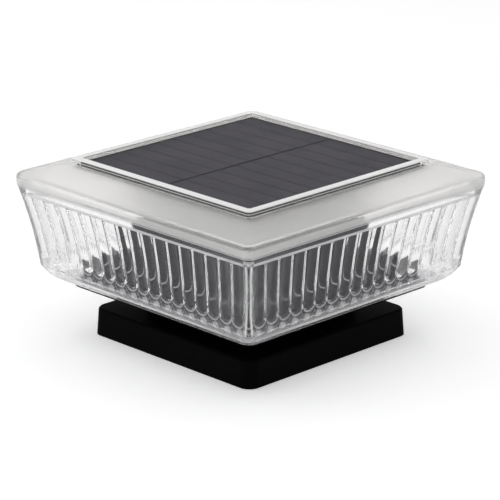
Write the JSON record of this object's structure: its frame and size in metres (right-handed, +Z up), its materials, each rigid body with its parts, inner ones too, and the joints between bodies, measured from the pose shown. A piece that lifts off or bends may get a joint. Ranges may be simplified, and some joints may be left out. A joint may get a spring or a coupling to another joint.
{
  "type": "deck post cap light",
  "caption": "Square solar light that caps a deck post: black base and neck, flared clear fluted lens, frosted top cover with a solar panel.",
  "frame": {"origin": "middle of the base skirt's lower rim, on the surface the light stands on", "axes": "+Z up through the post's axis, +X and +Y square to the sides; the battery door lies towards -Y and the switch towards +Y"},
  "size_m": [0.1634, 0.1634, 0.0904],
  "materials": {
    "base_black": "satin black, fine moulded grain",
    "pan_black": "satin black",
    "clear_lens": "clear, fluted inside",
    "gasket_rubber": "matte",
    "cover_clear": "clear rim, frosted shoulder",
    "window_clear": "clear, smooth",
    "cell_blue_black": "dark violet-grey cells",
    "backsheet_black": "matte black",
    "foam_tape": "foam",
    "housing_black": "satin black",
    "board_green": "solder mask",
    "chip_black": "moulded",
    "coil_ferrite": "ferrite",
    "capacitor_can": "can with sleeve",
    "screw_steel": "zinc plated",
    "led_white": "white body, yellow phosphor",
    "battery_sleeve": "steel can in plain shrink sleeve",
    "contact_steel": "nickel plated",
    "door_black": "satin black",
    "switch_shell": "pressed shell",
    "switch_knob_black": "satin black",
    "lead_insulation": "smooth insulation",
    "led_board_white": "white solder mask"
  },
  "bodies": {
    "post_mount": {"post_base": "base_black"},
    "lamp_head": {"base_pan": "pan_black", "battery_tub": "pan_black", "lens": "clear_lens", "lens_gasket": "gasket_rubber", "top_cover": "cover_clear", "solar_window": "window_clear", "solar_cells": "cell_blue_black", "panel_backsheet": "backsheet_black", "panel_tape": "foam_tape", "inner_housing": "housing_black", "control_board": "board_green", "charge_chip": "chip_black", "boost_coil": "coil_ferrite", "storage_capacitor": "capacitor_can", "board_screws": "screw_steel", "housing_screws": "screw_steel", "leds": "led_white", "battery": "battery_sleeve", "positive_contact": "contact_steel", "negative_spring": "contact_steel", "battery_door": "door_black", "door_gasket": "gasket_rubber", "door_screws": "screw_steel", "switch_body": "switch_shell", "switch_screws": "screw_steel", "panel_leads": "lead_insulation", "battery_leads": "lead_insulation", "switch_leads": "lead_insulation", "led_leads": "lead_insulation", "led_board_front": "led_board_white", "led_board_right": "led_board_white", "led_board_back": "led_board_white", "led_board_left": "led_board_white"},
    "switch_knob": {"switch_slider": "switch_knob_black"}
  },
  "joints": [
    {"name": "head_lift", "type": "slide", "parent": "post_mount", "child": "lamp_head", "axis": [0, 0, 1], "range_m": [0, 0.06]},
    {"name": "switch_slide", "type": "slide", "parent": "lamp_head", "child": "switch_knob", "axis": [1, 0, 0], "range_m": [0, 0.003]}
  ]
}
